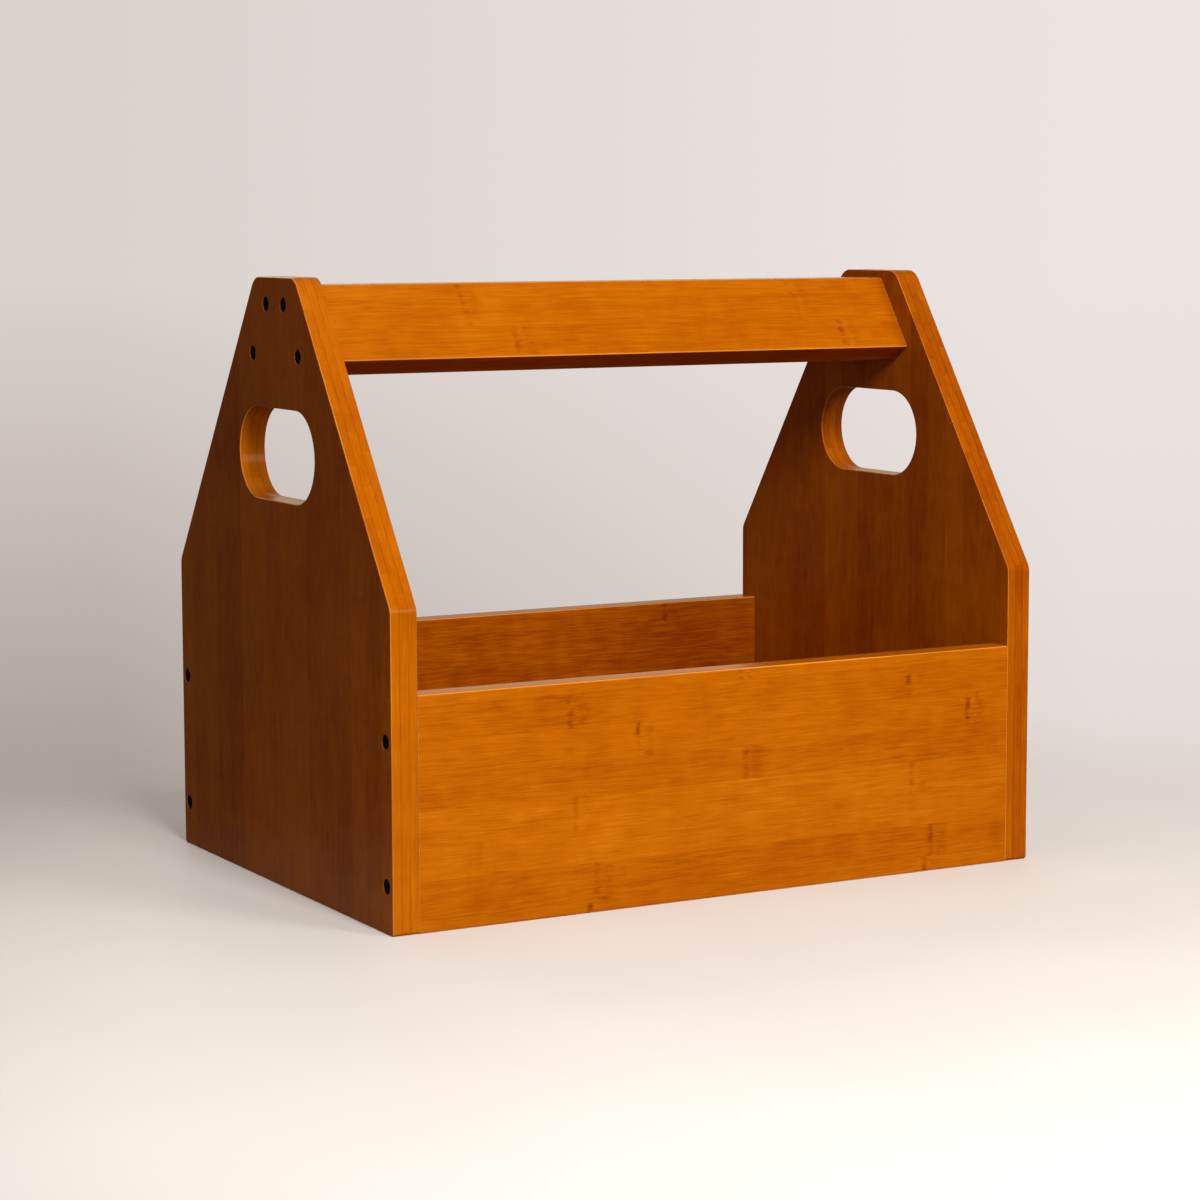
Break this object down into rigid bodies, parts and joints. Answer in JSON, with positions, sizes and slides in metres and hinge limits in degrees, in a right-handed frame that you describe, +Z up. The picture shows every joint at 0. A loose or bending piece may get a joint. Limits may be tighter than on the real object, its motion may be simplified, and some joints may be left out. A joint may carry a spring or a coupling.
{
  "type": "grooming box",
  "caption": "Open bamboo carry box for grooming brushes: two house-shaped ends with hand holes, front and back boards, a let-in bottom and a gabled slat handle.",
  "frame": {"origin": "on the ground under the middle of the box", "axes": "+X along the box from the left end panel to the right one, +Y from the front board to the back board, +Z up"},
  "size_m": [0.4, 0.286, 0.334],
  "materials": {
    "bamboo": "laminated bamboo, stained caramel brown under clear satin-gloss lacquer",
    "black_steel": "blackened steel screw"
  },
  "bodies": {
    "root": {"end_panel_left": "bamboo", "end_panel_right": "bamboo", "front_board": "bamboo", "back_board": "bamboo", "bottom_board": "bamboo", "handle_slat_front": "bamboo", "handle_slat_back": "bamboo", "screw_left_front_board_lower": "black_steel", "screw_left_front_board_upper": "black_steel", "screw_left_back_board_lower": "black_steel", "screw_left_back_board_upper": "black_steel", "screw_left_handle_slat_front_lower": "black_steel", "screw_left_handle_slat_front_upper": "black_steel", "screw_left_handle_slat_back_lower": "black_steel", "screw_left_handle_slat_back_upper": "black_steel", "screw_right_front_board_lower": "black_steel", "screw_right_front_board_upper": "black_steel", "screw_right_back_board_lower": "black_steel", "screw_right_back_board_upper": "black_steel", "screw_right_handle_slat_front_lower": "black_steel", "screw_right_handle_slat_front_upper": "black_steel", "screw_right_handle_slat_back_lower": "black_steel", "screw_right_handle_slat_back_upper": "black_steel"}
  },
  "joints": []
}
